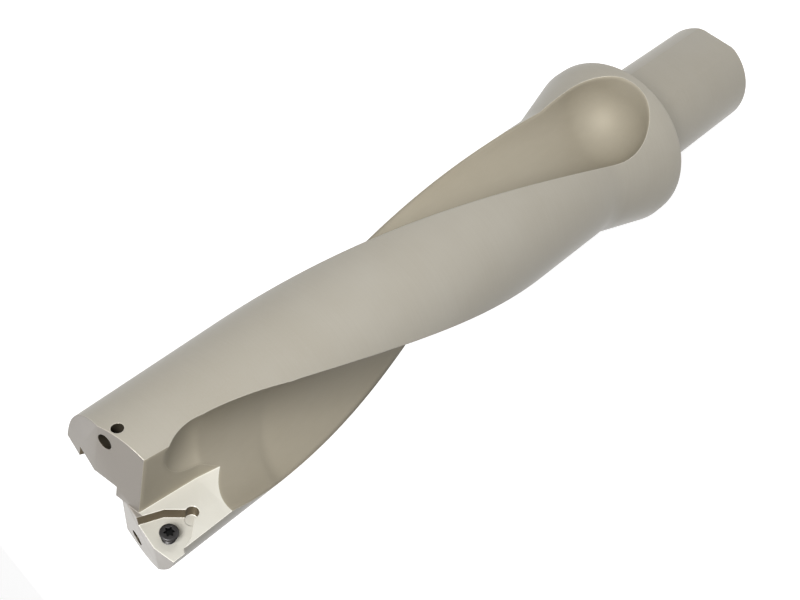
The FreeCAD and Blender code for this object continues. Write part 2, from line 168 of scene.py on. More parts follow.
def outward(made):
    """Point a closed mesh's faces outwards."""
    work = bmesh.new()
    work.from_mesh(made.data)
    bmesh.ops.recalc_face_normals(work, faces=work.faces)
    work.to_mesh(made.data)
    work.free()
    return made


print("mesh helpers ready")

# %% [markdown]
# ## The steels
#
# The body is hardened steel under satin nickel plating: a warm grey metal that is neither mirror nor matt. An
# even grey would be quicker, but it looks like plastic. So each finish mixes broad clouds, a fine grain, the
# marks of the tool, and edges painted brighter, partly as wear and partly as painted highlight. A Bevel node
# finds the edges: there, its rounded normal turns away from the true one. The materials come first, because
# the cutters further down bring theirs along.

# %% Build the blocks of a metal
def new_material(name):
    material = bpy.data.materials.new(name)
    material.use_nodes = True
    material.node_tree.nodes.clear()
    return material


def toned(colour, *shares):
    """A colour times one share, or times a share for each channel."""
    return tuple(channel * share for channel, share in zip(colour, shares * 3 if len(shares) == 1 else shares))


def blend_colours(tree, share, first, second):
    """Mix two colours by a share from 0 to 1. Either colour is a socket or three numbers."""
    mix = add(tree, "ShaderNodeMix", data_type="RGBA")
    tree.links.new(share, mix.inputs[0])
    for slot, colour in ((6, first), (7, second)):
        if isinstance(colour, bpy.types.NodeSocket):
            tree.links.new(colour, mix.inputs[slot])
        else:
            mix.inputs[slot].default_value = (*colour, 1)
    return mix.outputs[2]


def swing(tree, pattern, gain, middle, clamp=False):
    """A noise pattern, whose own middle is 0.5, made stronger or weaker about another middle."""
    return maths(tree, "MULTIPLY_ADD", maths(tree, "SUBTRACT", pattern, 0.5), gain, middle, clamp=clamp)


def noise(tree, place, scale, detail, roughness):
    return add(tree, "ShaderNodeTexNoise", place, scale, detail, roughness).outputs[0]


def rounded_normal(tree, width, samples):
    return add(tree, "ShaderNodeBevel", width, samples=samples).outputs[0]


def edge_wear_and_highlight(tree, width, gain):
    """The rounded normal near an edge, and a mask that is 1 on the edge itself."""
    rounded = rounded_normal(tree, width, samples=8)
    true_normal = add(tree, "ShaderNodeNewGeometry").outputs["Normal"]
    bend = add(tree, "ShaderNodeVectorMath", rounded, true_normal, operation="DOT_PRODUCT").outputs["Value"]
    return rounded, maths(tree, "MULTIPLY", maths(tree, "SUBTRACT", 1.0, bend), gain, clamp=True)


def metal_shader(tree, colour, rough, metallic, height, normal, strength, distance):
    """Join a metal's colour, roughness and bump to its shader."""
    bump = add(tree, "ShaderNodeBump")
    bump.inputs["Strength"].default_value = strength
    bump.inputs["Distance"].default_value = distance
    tree.links.new(height, bump.inputs["Height"])
    tree.links.new(normal, bump.inputs["Normal"])
    shader = add(tree, "ShaderNodeBsdfPrincipled")
    shader.inputs["Metallic"].default_value = metallic
    tree.links.new(colour, shader.inputs["Base Color"])
    tree.links.new(rough, shader.inputs["Roughness"])
    tree.links.new(bump.outputs[0], shader.inputs["Normal"])
    add(tree, "ShaderNodeOutputMaterial", shader.outputs[0])
    return shader


print("metal helpers ready")

# %% [markdown]
# One function makes every finish of the body. The tool's marks are noise on stretched coordinates: squeezed
# along the axis it becomes the fine rings of a lathe, and squeezed across the axis it becomes the long lines
# that a milling cutter leaves. Lengths in a material are in metres.

# %% Write the rule of the plated finishes
EDGE_WIDTH = 0.00045
WEAR_AND_HIGHLIGHT_GAIN = 1.4
EVEN = (3.0, 3.0, 3.0)


def plated_steel(name, tone, metallic, roughness, ridges, squeeze=EVEN, blend=None):
    """Satin nickel over steel. squeeze shapes the tool's marks, ridges raises them, and faces run together
    over the length blend."""
    material = new_material(name)
    tree = material.node_tree
    place = add(tree, "ShaderNodeTexCoord").outputs["Object"]
    cloud = noise(tree, place, scale=30.0, detail=3.0, roughness=0.5)
    grain = noise(tree, place, scale=2400.0, detail=2.0, roughness=0.6)
    squeezed = add(tree, "ShaderNodeMapping", place, (0, 0, 0), (0, 0, 0), squeeze).outputs[0]
    marks = noise(tree, squeezed, scale=60.0, detail=3.0, roughness=0.6)
    rounded, edge = edge_wear_and_highlight(tree, EDGE_WIDTH, gain=6.0)
    normal = rounded_normal(tree, blend, samples=12) if blend else rounded

    clouds = swing(tree, cloud, gain=2.2, middle=0.5, clamp=True)
    lines = swing(tree, marks, gain=1.6, middle=0.5, clamp=True)
    clouded = blend_colours(tree, clouds, toned(tone, 0.86, 0.84, 0.79), tone)
    marked = blend_colours(tree, lines, toned(tone, 0.90), tone)
    plain = blend_colours(tree, maths(tree, "MULTIPLY", grain, 0.9), clouded, marked)
    # Painted highlight, partly wear: the edges are painted brighter than the face.
    colour = blend_colours(tree, edge, plain, toned(tone, WEAR_AND_HIGHLIGHT_GAIN))
    rough = swing(tree, marks, 0.10, swing(tree, cloud, 0.16, roughness))
    height = maths(tree, "MULTIPLY_ADD", marks, ridges, maths(tree, "MULTIPLY", grain, 0.35))
    shader = metal_shader(tree, colour, rough, metallic, height, normal, strength=0.16, distance=0.00005)
    shader.inputs["Specular IOR Level"].default_value = 0.15
    return material


# The edges are painted brighter, partly as wear and partly as painted highlight.
print("worn edges:", round(EDGE_WIDTH / MM, 2), "mm wide and", WEAR_AND_HIGHLIGHT_GAIN, "times as bright")

# %% [markdown]
# The turned outside is the smoothest, with fine rings. The milled flutes are duller, and their faces run
# together over 2.5 mm, as two passes of one cutter do. The end faces are painted darker, as painted shade on
# faces turned from the lamp. Along the rake planes and on the floors of the seats the steel is ground, and it
# is painted brighter, partly as painted light on faces turned to the lamp. The walls of the seats are painted
# dark brown, and a drilled hole nearly black, both as painted shade.

# %% Make the six finishes
turned_steel = plated_steel("turned_steel", (0.345, 0.324, 0.278), metallic=0.22, roughness=0.34, ridges=0.8,
                            squeeze=(0.6, 0.6, 45.0))
milled_steel = plated_steel("milled_steel", (0.315, 0.286, 0.226), metallic=0.16, roughness=0.58, ridges=1.0,
                            squeeze=(9.0, 9.0, 1.5), blend=0.0025)
# Painted shade: the end faces get a darker tone than the turned outside.
shaded_face_steel = plated_steel("shaded_face_steel", (0.235, 0.216, 0.194), metallic=0.18, roughness=0.42, ridges=0.8)
# Partly painted light: ground faces get a much brighter tone than the rest.
ground_and_lit_steel = plated_steel("ground_and_lit_steel", (0.56, 0.548, 0.498), metallic=0.25, roughness=0.36, ridges=0.6)
# Painted shade: the walls of the seats and reliefs get a dark brown tone.
pocket_wall_shade_steel = plated_steel("pocket_wall_shade_steel", (0.12, 0.096, 0.062), metallic=0.40, roughness=0.45, ridges=0.6)
# Painted shade: the walls of holes get a nearly black tone.
hole_shade_steel = plated_steel("hole_shade_steel", (0.05, 0.042, 0.03), metallic=0.60, roughness=0.50, ridges=0.8,
                             squeeze=(3.0, 3.0, 20.0))
steels = (turned_steel, milled_steel, shaded_face_steel, ground_and_lit_steel, pocket_wall_shade_steel, hole_shade_steel)
print("steel materials:", [steel.name for steel in steels])

# %% [markdown]
# The clamp screws are hardened steel with black oxide: nearly black and a little glossy. Plain black would hide
# the head's shape, so the metal is patchy and the edges of the head are painted brighter, partly as wear and
# partly as painted highlight. The socket is painted darker still and less glossy, as painted shade in its
# recess.

# %% Build the black oxide
def black_oxide(name, dark, light, roughness):
    material = new_material(name)
    tree = material.node_tree
    place = add(tree, "ShaderNodeTexCoord").outputs["Object"]
    cloud = noise(tree, place, scale=700.0, detail=3.0, roughness=0.6)
    rounded, edge = edge_wear_and_highlight(tree, width=0.00014, gain=4.0)
    patchy = blend_colours(tree, cloud, dark, light)
    # Painted highlight, partly wear: the edges of the head are painted brighter.
    colour = blend_colours(tree, edge, patchy, toned(light, 2.5))
    rough = maths(tree, "MULTIPLY_ADD", cloud, 0.16, roughness)
    metal_shader(tree, colour, rough, metallic=0.65, height=cloud, normal=rounded, strength=0.25,
                 distance=0.00003)
    return material


screw_black = black_oxide("screw_black", dark=(0.018, 0.017, 0.017), light=(0.045, 0.043, 0.043),
                          roughness=0.30)
# Painted shade: the socket's recess is painted darker than the head.
socket_painted_shade = black_oxide("socket_painted_shade", dark=(0.002, 0.002, 0.002), light=(0.008, 0.008, 0.008),
                           roughness=0.45)
print("screw materials:", screw_black.name, "and", socket_painted_shade.name)

# %% [markdown]
# ## Shapes that follow a rule, with Geometry Nodes
#
# Two shapes on this drill follow a rule: the flute and the screw's thread. Both trees bend a flat grid, whose
# points are counted by column and row, and both end in the same few nodes. So the shared parts come first.

# %% Start and end a tree
def new_rule(name, numbers):
    """A Geometry Nodes tree with number inputs and a steel, and the sockets that hand them on."""
    tree = bpy.data.node_groups.new(name, "GeometryNodeTree")
    for number in numbers:
        tree.interface.new_socket(name=number, in_out="INPUT", socket_type="NodeSocketFloat")
    tree.interface.new_socket(name="Steel", in_out="INPUT", socket_type="NodeSocketMaterial")
    tree.interface.new_socket(name="Geometry", in_out="OUTPUT", socket_type="NodeSocketGeometry")
    return tree, add(tree, "NodeGroupInput").outputs


def counted_grid(tree, columns, rows):
    """A flat grid, and the column and row of each of its points, counted from 0."""
    grid = add(tree, "GeometryNodeMeshGrid", columns, rows, columns + 1, rows + 1).outputs[0]
    at = add(tree, "ShaderNodeSeparateXYZ", add(tree, "GeometryNodeInputPosition").outputs[0]).outputs
    return grid, maths(tree, "ADD", at[0], columns / 2), maths(tree, "ADD", at[1], rows / 2)


def between(tree, share, low, high):
    return maths(tree, "MULTIPLY_ADD", share, maths(tree, "SUBTRACT", high, low), low)


def end_rule(tree, grid, spot, weld, steel):
    """Send the grid's points to their spots, weld the points that meet, and coat the result."""
    bent = add(tree, "GeometryNodeSetPosition", grid, None, spot).outputs[0]
    closed = add(tree, "GeometryNodeMergeByDistance", bent)
    closed.inputs["Distance"].default_value = weld
    real = add(tree, "GeometryNodeRealizeInstances", closed.outputs[0]).outputs[0]
    coated = add(tree, "GeometryNodeSetMaterial", real, None, steel).outputs[0]
    add(tree, "NodeGroupOutput", coated)


def with_tree(name, tree, values):
    """A mesh made by a Geometry Nodes tree, with its inputs set by their identifiers."""
    made = make_object(name, [], [])
    modifier = made.modifiers.new(tree.name, "NODES")
    modifier.node_group = tree
    for item in tree.interface.items_tree:
        if item.in_out == "INPUT" and item.name in values:
            modifier[item.identifier] = values[item.name]
    return frozen(made)


print("Geometry Nodes helpers ready")

# %% [markdown]
# ## The flute cutter
#
# A flute is what a ball-nosed cutter leaves when it follows a helix. A tube swept along a curve would come near
# it, but its ends would be flat and its section would tilt with the curve, so the tree works out each point.
# Seen from outside, the slot is a long loop: up one side, half a turn round the front end, down the other side,
# and half a turn round the back end. Each station of that loop carries the same section: a quarter circle from
# the floor of the flute out to the flank, then the flared flank, and a lid that closes the cutter outside the
# body. One grid direction runs along the loop and the other along the section.

# %% Build the flute tree
LOOP_STEPS = 220
END_STEPS = 28
NOSE_STEPS = 26
FLANK_STEPS = 4


def flute_tree():
    tree, given = new_rule("helical_flute", (
        "Lead", "Radius", "Core", "Back", "Front", "Turn at tip", "Tip plane", "Outside", "Mouth"))
    grid, station, step = counted_grid(tree, 2 * (LOOP_STEPS + END_STEPS), NOSE_STEPS + FLANK_STEPS + 1)

    def stretch(value, start, length):
        """0 before a stretch of the loop or the section, 1 after it, and the share of it in between."""
        return maths(tree, "DIVIDE", maths(tree, "SUBTRACT", value, start), length, clamp=True)

    # along the loop: how high the cutter stands, and how far it has turned round an end
    up = stretch(station, 0, LOOP_STEPS)
    front_end = stretch(station, LOOP_STEPS, END_STEPS)
    down = stretch(station, LOOP_STEPS + END_STEPS, LOOP_STEPS)
    back_end = stretch(station, 2 * LOOP_STEPS + END_STEPS, END_STEPS)
    round_end = maths(tree, "MULTIPLY", maths(tree, "ADD", front_end, back_end), math.pi)
    height = between(tree, maths(tree, "SUBTRACT", up, down), given["Back"], given["Front"])
    turns = maths(tree, "DIVIDE", maths(tree, "SUBTRACT", height, given["Tip plane"]), given["Lead"])
    turn = maths(tree, "MULTIPLY_ADD", turns, 2 * math.pi, given["Turn at tip"])
    cos, sin = maths(tree, "COSINE", turn), maths(tree, "SINE", turn)
    middle = maths(tree, "ADD", given["Core"], given["Radius"])

    # along the section: how far out and how wide it is
    nose = maths(tree, "MULTIPLY", stretch(step, 0, NOSE_STEPS), math.pi / 2)
    flank = stretch(step, NOSE_STEPS, FLANK_STEPS)
    lid = stretch(step, NOSE_STEPS + FLANK_STEPS, 1)
    inwards = maths(tree, "MULTIPLY", given["Radius"], -1.0)
    out = maths(tree, "ADD",
                maths(tree, "MULTIPLY", flank, maths(tree, "SUBTRACT", given["Outside"], middle)),
                maths(tree, "MULTIPLY", maths(tree, "COSINE", nose), inwards))
    wide = maths(tree, "ADD",
                 maths(tree, "MULTIPLY", maths(tree, "SINE", nose), given["Radius"]),
                 maths(tree, "MULTIPLY", flank, maths(tree, "SUBTRACT", given["Mouth"], given["Radius"])))
    wide = maths(tree, "MULTIPLY", wide, maths(tree, "SUBTRACT", 1.0, lid))

    # the path runs up and round: its two shares give the tangent and the direction across it
    round_share = maths(tree, "DIVIDE", maths(tree, "MULTIPLY", middle, 2 * math.pi), given["Lead"])
    length = maths(tree, "SQRT", maths(tree, "MULTIPLY_ADD", round_share, round_share, 1.0))
    round_part = maths(tree, "DIVIDE", round_share, length)
    up_part = maths(tree, "DIVIDE", 1.0, length)
    across = maths(tree, "MULTIPLY", wide, maths(tree, "COSINE", round_end))
    ahead = maths(tree, "MULTIPLY", wide, maths(tree, "SINE", round_end))
    radial = maths(tree, "ADD", middle, out)
    sideways = maths(tree, "ADD",
                     maths(tree, "MULTIPLY", across, up_part), maths(tree, "MULTIPLY", ahead, round_part))
    rise = maths(tree, "SUBTRACT",
                 maths(tree, "MULTIPLY", ahead, up_part), maths(tree, "MULTIPLY", across, round_part))

    x = maths(tree, "SUBTRACT", maths(tree, "MULTIPLY", radial, cos), maths(tree, "MULTIPLY", sideways, sin))
    y = maths(tree, "ADD", maths(tree, "MULTIPLY", radial, sin), maths(tree, "MULTIPLY", sideways, cos))
    z = maths(tree, "ADD", height, rise)
    spot = add(tree, "ShaderNodeCombineXYZ", x, y, z).outputs[0]
    end_rule(tree, grid, spot, weld=0.000002, steel=given["Steel"])
    return tree


flute_rule = flute_tree()
print("flute tree has", len(flute_rule.nodes), "nodes")

# %% [markdown]
# The tree is a recipe, and a mesh comes from it only when an object carries it as a modifier. The inputs are
# set by their identifiers before the object is first evaluated, and the result is then kept as plain mesh. The
# cutter stops 50 mm below the tip. That is 15 mm short of where the CAD model stops it, because a slanted
# pass, which the CAD model has not got, takes over there.

# %% Run the tree for both flutes
FLUTE_RADIUS = 18.3
FLUTE_CORE = 7.6
FLUTE_LEAD = 537.0
FLUTE_PHASES = {"outer_flute": 229.1, "inner_flute": 229.1 + 181.9}
FLUTE_FRONT = TIP_PLANE - 50.0
FLUTE_BACK = CONE_TOP - 7.4
FLUTE_FLARE = 6.0
FLUTE_MIDDLE = FLUTE_CORE + FLUTE_RADIUS
FLUTE_MOUTH = FLUTE_RADIUS + (OUTSIDE - FLUTE_MIDDLE) * math.tan(math.radians(FLUTE_FLARE))

cutters = []
for flute_name, phase in FLUTE_PHASES.items():
    cutter = with_tree(flute_name, flute_rule, {
        "Lead": FLUTE_LEAD * MM, "Radius": FLUTE_RADIUS * MM, "Core": FLUTE_CORE * MM,
        "Back": FLUTE_BACK * MM, "Front": FLUTE_FRONT * MM, "Turn at tip": math.radians(phase),
        "Tip plane": TIP_PLANE * MM, "Outside": OUTSIDE * MM, "Mouth": FLUTE_MOUTH * MM,
        "Steel": milled_steel})
    cutters.append(outward(cutter))
    print(flute_name, "cutter:", len(cutter.data.polygons), "faces")

# %% [markdown]
# ## The turned blank
#
# The drill starts as a round bar on a lathe, so its mesh is one outline turned round the axis. A Screw modifier
# would turn it too, but a few lines of code also close both poles and divide the long straights, so that the
# faces between two cuts stay small and shade well.

# %% Turn the blank
BLANK_TOP = TIP_PLANE + 6


def turned(name, outline, material, longest=4.0, steps=256):
    """Turn an outline of (radius, height) pairs about Z. Its first and last points lie on the axis."""
    fine = []
    for (r0, z0), (r1, z1) in zip(outline, outline[1:]):
        parts = max(1, math.ceil(math.hypot(r1 - r0, z1 - z0) / longest))
        fine += [(r0 + (r1 - r0) * i / parts, z0 + (z1 - z0) * i / parts) for i in range(parts)]
    fine.append(outline[-1])
    rings = fine[1:-1]
    points = [(0, 0, fine[0][1])]
    for radius, height in rings:
        for i in range(steps):
            angle = 2 * math.pi * i / steps
            points.append((radius * math.cos(angle), radius * math.sin(angle), height))
    points.append((0, 0, fine[-1][1]))
    faces = []
    for i in range(steps):
        j = (i + 1) % steps
        faces.append((0, 1 + j, 1 + i))
        for ring in range(len(rings) - 1):
            low, high = 1 + ring * steps, 1 + (ring + 1) * steps
            faces.append((low + i, low + j, high + j, high + i))
        top = 1 + (len(rings) - 1) * steps
        faces.append((top + i, top + j, len(points) - 1))
    return make_object(name, points, faces, material)


drill_body = turned("drill_body_steel", [
    (0, 0), (SHANK_RADIUS - CHAMFER, 0), (SHANK_RADIUS, CHAMFER), (SHANK_RADIUS, SHANK_LENGTH),
    (COLLAR_RADIUS - CHAMFER, SHANK_LENGTH), (COLLAR_RADIUS, SHANK_LENGTH + CHAMFER),
    (COLLAR_RADIUS, COLLAR_BAND_TOP), (BODY_RADIUS, CONE_TOP), (BODY_RADIUS, BLANK_TOP), (0, BLANK_TOP),
], turned_steel)
print("blank:", len(drill_body.data.polygons), "faces")

# %% [markdown]
# ## Gullets
#
# In front of each insert the flute opens into a straight gullet, whose flat wall is the insert's rake plane. It
# could be cut with stretched cubes, but one prism has clean edges: an outline carried along several levels. The
# last level is shifted, and makes the slope that leads the gullet out into the flute.

# %% Make the gullets
ABOVE_TIP = 8.0
RUNOUT_DROP = 15.0
RUNOUT_HEADING = math.radians(37)
FACES_RAKE = 0.9


def prism(name, levels, material):
    """A closed prism through outlines of equal length, each a list of (x, y, z) points."""
    count = len(levels[0])
    points = [point for level in levels for point in level]
    faces = [tuple(range(count))[::-1], tuple(range(len(points) - count, len(points)))]
    for level in range(len(levels) - 1):
        low, high = level * count, (level + 1) * count
        for i in range(count):
            j = (i + 1) % count
            faces.append((low + i, low + j, high + j, high + i))
    return outward(make_object(name, points, faces, material))


def ground_and_lit_floor(made):
    """Give a cutter's faces that lie along the rake plane the ground steel, whose bright tone is partly painted
    light.
    """
    made.data.materials.append(ground_and_lit_steel)
    for face in made.data.polygons:
        if abs(face.normal.y) > FACES_RAKE:
            face.material_index = 1
    return made


def gullet(name, side, inset, lean, slant, depth, travel):
    """A straight gullet with its slope. Its wall on the rake plane is ground and painted bright, partly as
    painted light, and the other one leans.
    """
    def plan(below_tip):
        wall = side * (inset + below_tip * math.tan(math.radians(slant)))
        return [(wall, 0), (wall + OUTSIDE * math.tan(math.radians(lean)), side * OUTSIDE),
                (side * OUTSIDE, side * OUTSIDE), (side * OUTSIDE, 0)]

    shift_x = side * travel * math.cos(RUNOUT_HEADING)
    shift_y = side * travel * math.sin(RUNOUT_HEADING)
    floor = TIP_PLANE - depth
    return ground_and_lit_floor(prism(name, [
        [(x, y, TIP_PLANE + ABOVE_TIP) for x, y in plan(-ABOVE_TIP)],
        [(x, y, floor) for x, y in plan(depth)],
        [(x + shift_x, y + shift_y, floor - RUNOUT_DROP) for x, y in plan(depth)]], milled_steel))


cutters.append(gullet("outer_gullet", side=-1, inset=8.2, lean=1.0, slant=5.5, depth=20.0, travel=6.3))
cutters.append(gullet("inner_gullet", side=1, inset=-0.6, lean=5.0, slant=0.5, depth=17.0, travel=10.0))
print("gullets:", [cutter.name for cutter in cutters[-2:]])

# %% [markdown]
# ## The heels of the lands
#
# Behind the gullet the same ball-nosed cutter runs a short way along the rake plane and hollows the heel of the
# land. A second pass slants from there down to the end of the helix. Without it a ridge would stay between the
# two hollows, and the real flute has none. Both cutters are round-nosed bars: an outline turned about its own
# axis, and then laid in place.

# %% Hollow the heels
HEEL_OFFSET = 23.8
HEEL_SETBACK = 18.8
HEEL_LENGTH = 19.0
HEEL_LEAN = math.radians(13.5)
RAMP_RADIUS = 17.8
RAMP_SETBACK = 23.2
RAKE_GAP = 0.2
BAR_NOSE_STEPS = 24


def placed(made, place):
    """Lay a mesh in place, with the place written into its points."""
    made.data.transform(place)
    return made


def round_bar(name, start, direction, length, radius):
    """A bar with a round nose at its start, laid along a direction."""
    angles = [i * math.pi / (2 * BAR_NOSE_STEPS) for i in range(BAR_NOSE_STEPS + 1)]
    nose = [(radius * math.sin(angle), -radius * math.cos(angle)) for angle in angles]
    bar = turned(name, nose + [(radius, length), (0, length)], milled_steel, longest=1.5, steps=128)
    turn = Vector(direction).to_track_quat("Z", "Y").to_matrix().to_4x4()
    return outward(placed(bar, Matrix.Translation(Vector(start) * MM) @ turn))


def heel(name, side):
    """The hollow behind a gullet, which runs down along the rake plane."""
    start = (side * HEEL_OFFSET, side * (FLUTE_RADIUS + RAKE_GAP), TIP_PLANE - HEEL_SETBACK)
    downwards = (side * math.sin(HEEL_LEAN), 0, -math.cos(HEEL_LEAN))
    return round_bar(name, start, downwards, HEEL_LENGTH, FLUTE_RADIUS)


def ramp(name, side, phase):
    """The slanted pass between the heel and the front end of the helix."""
    angle = math.radians(phase + 360 * (FLUTE_FRONT - TIP_PLANE) / FLUTE_LEAD)
    middle = FLUTE_CORE + RAMP_RADIUS
    low = Vector((middle * math.cos(angle), middle * math.sin(angle), FLUTE_FRONT))
    high = Vector((side * HEEL_OFFSET, side * (RAMP_RADIUS + RAKE_GAP), TIP_PLANE - RAMP_SETBACK))
    return round_bar(name, high, low - high, (low - high).length, RAMP_RADIUS)


for side, (flute_name, phase) in zip((-1, 1), FLUTE_PHASES.items()):
    cutters.append(heel(f"{flute_name}_heel", side))
    cutters.append(ramp(f"{flute_name}_ramp", side, phase))
print("heels and ramps:", [cutter.name for cutter in cutters[-4:]])

# %% [markdown]
# ## End faces and seats
#
# The end face of each land slopes away behind its insert. The seat is the outline of a three-cornered insert,
# open towards the tip, with a round relief for the corner at its back and a hole for the clamp screw. Each seat
# is turned a few degrees, so it is easiest to draw in the insert's own frame and then lay on the rake plane.

# %% Work in an insert's own frame
INSERT_RADIUS = 12.7 / 2
CORNER = INSERT_RADIUS / math.sin(math.radians(40))  # from the middle to one of the corners of 80 degrees
BLUNT = INSERT_RADIUS / math.cos(math.radians(10))  # from the middle to a blunt corner between two of them
SEATS = {
    "outer": {"across": -18.0, "height": TIP_PLANE - 2.9, "turn": 2.3, "clearance": 10.0, "side": 1},
    "inner": {"across": 8.3, "height": TIP_PLANE - 4.6, "turn": 4.2, "clearance": 2.5, "side": -1},
}


def on_seat(seat, across, up, deep):
    """A point given in an insert's own frame: across it, towards the tip, and down into its seat."""
    turn = math.radians(seat["turn"])
    return (seat["across"] + across * math.cos(turn) + up * math.sin(turn), seat["side"] * deep,
            seat["height"] - across * math.sin(turn) + up * math.cos(turn))


def circle(radius, across=0.0, up=0.0, steps=48):
    angles = [2 * math.pi * i / steps for i in range(steps)]
    return [(across + radius * math.cos(angle), up + radius * math.sin(angle)) for angle in angles]


print("outer seat: middle at", on_seat(SEATS["outer"], 0, 0, 0), "mm, corners", round(CORNER, 2), "mm away")

# %% [markdown]
# Each cutter of a seat starts a hundredth of a millimetre above the rake plane. Two faces in one plane would
# leave it to chance which of them a Boolean keeps. The seat's floor is ground like the rake plane and painted
# as bright, partly as painted light, while its walls are painted dark as painted shade.

# %% Cut the end faces, seats, reliefs and screw holes
SEAT_DEPTH = 4.0
SEAT_EASE = 0.5
SEAT_OPENING = 6.0
RELIEF_RADIUS = 1.95
RELIEF_DEPTH = SEAT_DEPTH + 0.2
RELIEF_SETBACK = 1.25
SCREW_STAND = 3.3
SCREW_ROOM = 12.0
SCREW_HOLE_RADIUS = 2.05
FACE_CREST = BLUNT - 0.55
FACE_FALL = math.tan(math.radians(10))
ALL_ACROSS = 60.0
ALL_THROUGH = 50.0
ABOVE_RAKE = 0.01


def end_face(name, seat):
    """All that stands above the insert's cutting edges, down to the slope behind them."""
    low = FACE_CREST - ALL_ACROSS * FACE_FALL
    roof = [(0, FACE_CREST), (-ALL_ACROSS, low), (-ALL_ACROSS, ALL_ACROSS), (ALL_ACROSS, ALL_ACROSS),
            (ALL_ACROSS, low)]
    drop = ALL_THROUGH * math.tan(math.radians(seat["clearance"]))
    start = [on_seat(seat, across, up, -ABOVE_RAKE) for across, up in roof]
    end = [(x, seat["side"] * ALL_THROUGH, z - drop) for x, y, z in start]
    # The end face is painted darker, as painted shade.
    return prism(f"{name}_end_face", [start, end], shaded_face_steel)


def seat_plan():
    """The insert's outline, eased on one side and carried on towards the tip."""
    s60, c60 = math.sin(math.radians(60)), math.cos(math.radians(60))
    left, right, top = -CORNER * s60, CORNER * s60 + SEAT_EASE, BLUNT + SEAT_OPENING
    return [(right, CORNER * c60), (BLUNT * s60 + SEAT_EASE, -BLUNT * c60), (SEAT_EASE, -CORNER),
            (-BLUNT * s60, -BLUNT * c60), (left, CORNER * c60), (left, top), (right, top)]


def sunk(name, seat, outline, deep, material):
    """A prism from just above the rake plane straight down into the seat."""
    levels = [[on_seat(seat, across, up, level) for across, up in outline] for level in (-ABOVE_RAKE, deep)]
    return prism(name, levels, material)


for name, seat in SEATS.items():
    relief = circle(RELIEF_RADIUS, SEAT_EASE, RELIEF_SETBACK - CORNER)
    screw_hole = circle(SCREW_HOLE_RADIUS)
    cutters += [
        end_face(name, seat),
        ground_and_lit_floor(sunk(f"{name}_seat", seat, seat_plan(), SEAT_DEPTH, pocket_wall_shade_steel)),
        ground_and_lit_floor(sunk(f"{name}_relief", seat, relief, RELIEF_DEPTH, pocket_wall_shade_steel)),
        sunk(f"{name}_screw_hole", seat, screw_hole, SEAT_DEPTH - SCREW_STAND + SCREW_ROOM, hole_shade_steel)]
print("cutters so far:", len(cutters))

# %% [markdown]
# ## Coolant holes and the clamping flat
#
# Coolant comes in at the end of the shank, runs up the core, and leaves through a slanted hole in each end
# face. A short cross hole in the rim meets one of them. Dark discs would pass for holes from afar, but real
# ones catch the light at their rims. Their cutters reach into free air, so that no skin stays over a mouth.

# %% Drill the holes and mill the flat
CORE_TOP = 232.0
JET_SPREAD = 20.1  # how far from the axis a slanted hole is when it reaches the tip plane
JET_LEAN = math.atan(JET_SPREAD / (TIP_PLANE - CORE_TOP))
JET_PHASES = (286.7, 106.7)
SIDE_HOLE_PHASE = math.radians(279.5)
SIDE_HOLE_START = 31.0
SIDE_HOLE_HEIGHT = TIP_PLANE - 2.7
FLAT_DISTANCE = 18.0
WIDE = 2 * SHANK_RADIUS


def drilled(name, start, direction, radius, length):
    """A round hole's cutter, from a start point along a direction. Its walls are painted nearly black, as
    painted shade.
    """
    turn = Vector(direction).to_track_quat("Z", "Y").to_matrix()
    return prism(name, [[Vector(start) + turn @ Vector((x, y, level)) for x, y in circle(radius, steps=64)]
                        for level in (0, length)], hole_shade_steel)


cutters.append(drilled("inlet", (0, 0, -2), (0, 0, 1), radius=5.9, length=18))
cutters.append(drilled("core_bore", (0, 0, -1), (0, 0, 1), radius=4.0, length=CORE_TOP + 1))
for number, phase in enumerate(JET_PHASES, start=1):
    away = math.radians(phase)
    heading = (math.sin(JET_LEAN) * math.cos(away), math.sin(JET_LEAN) * math.sin(away), math.cos(JET_LEAN))
    cutters.append(drilled(f"jet_{number}", (0, 0, CORE_TOP), heading, radius=2.4, length=95))
cos, sin = math.cos(SIDE_HOLE_PHASE), math.sin(SIDE_HOLE_PHASE)
mouth = (SIDE_HOLE_START * cos, SIDE_HOLE_START * sin, SIDE_HOLE_HEIGHT)
cutters.append(drilled("side_hole", mouth, (-cos, -sin, 0), radius=1.85, length=12.5))
cutters.append(prism("shank_flat", [
    [(-WIDE, -FLAT_DISTANCE, z), (-WIDE, -WIDE, z), (WIDE, -WIDE, z), (WIDE, -FLAT_DISTANCE, z)]
    for z in (-2, SHANK_LENGTH)], turned_steel))
print("cutters in all:", len(cutters))

# %% [markdown]
# ## Cut the blank
#
# Each cutter is taken from the blank by a Boolean modifier with the Manifold solver, which is quick and exact
# on closed meshes. The cut walls keep the cutter's own material, so the flutes stay milled and the outside
# stays turned.

# %% Run the cuts
def cut_with(made, cutter, operation="DIFFERENCE"):
    """Take a cutter from a piece, or join it to the piece, and drop the cutter."""
    modifier = made.modifiers.new(cutter.name, "BOOLEAN")
    modifier.operation = operation
    modifier.solver = "MANIFOLD"
    modifier.material_mode = "TRANSFER"
    modifier.object = cutter
    frozen(made)
    bpy.data.objects.remove(cutter)


for cutter in cutters:
    name, before = cutter.name, len(drill_body.data.polygons)
    cut_with(drill_body, cutter)
    print(f"{name}: {before} -> {len(drill_body.data.polygons)} faces")
shade_round(drill_body)
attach(drill_body, "root")
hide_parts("drill_body")
print("drill body:", len(drill_body.data.polygons), "faces,", [m.name for m in drill_body.data.materials])

# %% [markdown]
# ## The clamp screws
#
# Each seat still holds its small countersunk screw. Its thread is a ridge that climbs by one pitch in each
# turn. A Screw modifier leaves open ends that have to be capped, so a tree makes it: a grid is rolled into a
# bar, and each point's radius follows the ridge. The first and last rows shrink to the axis, which closes it.

# %% Build the thread tree
THREAD_AROUND = 48
THREAD_ROWS = 150
ROOT_FLAT = 0.12
RIDGE_STEEPNESS = 1.3


